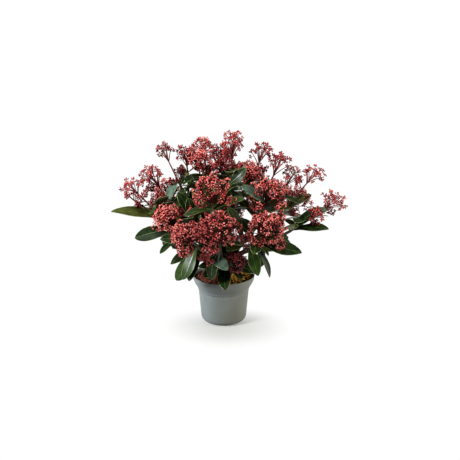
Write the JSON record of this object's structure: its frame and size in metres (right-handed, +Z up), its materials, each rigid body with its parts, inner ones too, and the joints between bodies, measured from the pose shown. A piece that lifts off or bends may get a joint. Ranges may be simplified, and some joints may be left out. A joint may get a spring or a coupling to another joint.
{
  "type": "potted skimmia",
  "caption": "Evergreen flowering shrub with glossy dark leaves and red heads of flower buds, in a grey plastic nursery pot that stands on its flat underside.",
  "frame": {"origin": "centre of the pot's flat underside", "axes": "+Z up, -Y towards the front of the plant, +X to its right"},
  "size_m": [0.4295, 0.3294, 0.3676],
  "materials": {
    "pot_plastic": "satin grey",
    "potting_mix": "loose bark and granules",
    "bark": "matt bark",
    "foliage": "glossy dark green leaves",
    "blossom": "waxy coral red buds"
  },
  "bodies": {
    "root": {"pot": "pot_plastic", "soil": "potting_mix", "trunk": "bark", "bough_crest": "bark", "mass_crest": "foliage", "bough_front": "bark", "mass_front": "blossom", "bough_front_left": "bark", "mass_front_left": "blossom", "bough_left": "bark", "mass_left": "foliage", "bough_right_front": "bark", "mass_right_front": "blossom", "bough_right": "bark", "mass_right": "foliage", "bough_back_left": "bark", "mass_back_left": "foliage", "bough_back": "bark", "mass_back": "blossom", "bough_back_right": "bark", "mass_back_right": "blossom", "bough_front_low": "bark", "mass_front_low": "foliage", "bough_crown_front": "bark", "mass_crown_front": "blossom", "bough_crown_left": "bark", "mass_crown_left": "blossom", "bough_crown_right": "bark", "mass_crown_right": "foliage", "bough_crown_back": "bark", "mass_crown_back": "blossom", "bough_back_top": "bark", "mass_back_top": "foliage", "bough_left_front": "bark", "mass_left_front": "blossom", "bough_left_upper": "bark", "mass_left_upper": "foliage", "bough_left_top": "bark", "mass_left_top": "foliage", "bough_left_tip": "bark", "mass_left_tip": "foliage", "bough_right_upper": "bark", "mass_right_upper": "blossom", "bough_right_top": "bark", "mass_right_top": "foliage", "bough_right_out": "bark", "mass_right_out": "foliage", "bough_right_back": "bark", "mass_right_back": "foliage", "bough_back_left_low": "bark", "mass_back_left_low": "blossom", "bough_back_low": "bark", "mass_back_low": "blossom", "bough_back_upper": "bark", "mass_back_upper": "blossom"}
  },
  "joints": []
}
